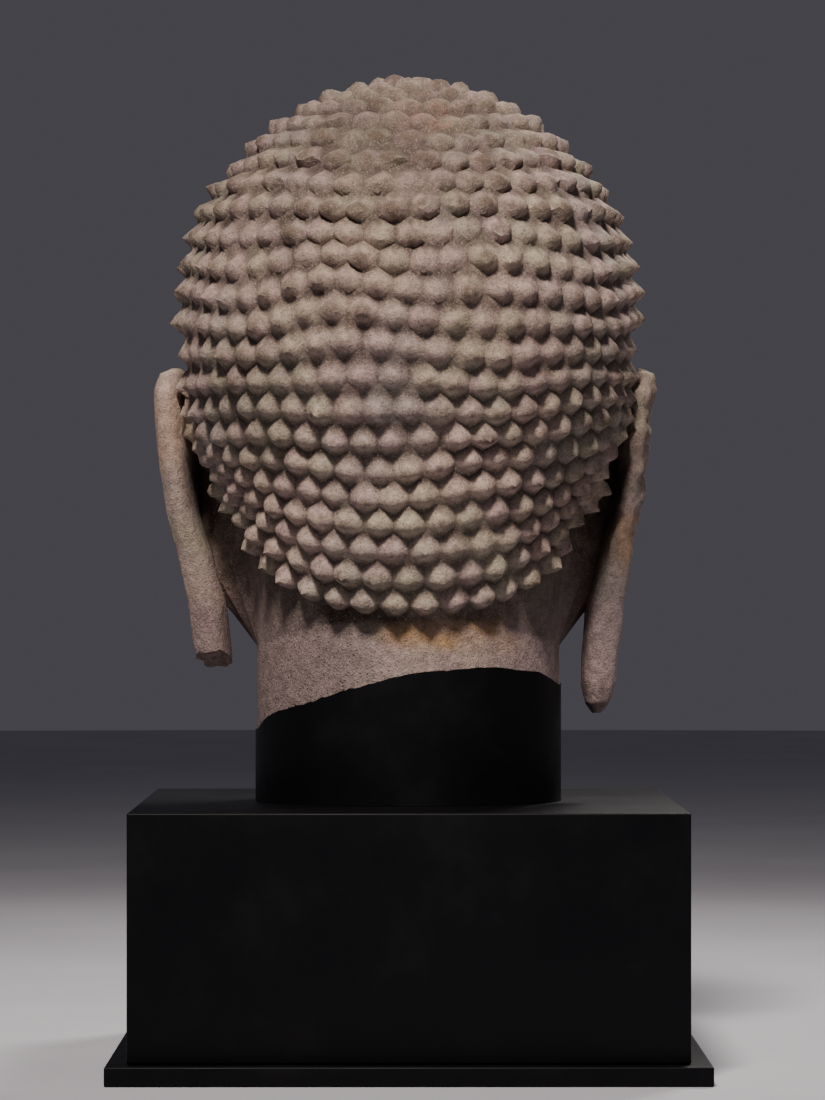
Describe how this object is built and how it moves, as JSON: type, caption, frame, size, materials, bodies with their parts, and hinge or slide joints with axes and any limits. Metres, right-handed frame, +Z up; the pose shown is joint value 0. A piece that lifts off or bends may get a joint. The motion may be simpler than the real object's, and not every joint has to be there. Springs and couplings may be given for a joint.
{
  "type": "carved stone head on a plinth",
  "caption": "Carved stone head with rows of pointed curls and long ear lobes, broken at the neck, on a fitted black support and square plinth.",
  "frame": {"origin": "middle of the plinth's underside", "axes": "+Z up, the face looks along -Y, +X is the head's own left"},
  "size_m": [0.484, 0.484, 0.8332],
  "materials": {
    "stone": "weathered, matt, fine-grained",
    "support_black": "black paint, satin",
    "plinth_black": "black paint, satin"
  },
  "bodies": {
    "root": {"stone_head": "stone", "neck_support": "support_black", "plinth_block": "plinth_black", "plinth_foot_plate": "plinth_black"}
  },
  "joints": []
}
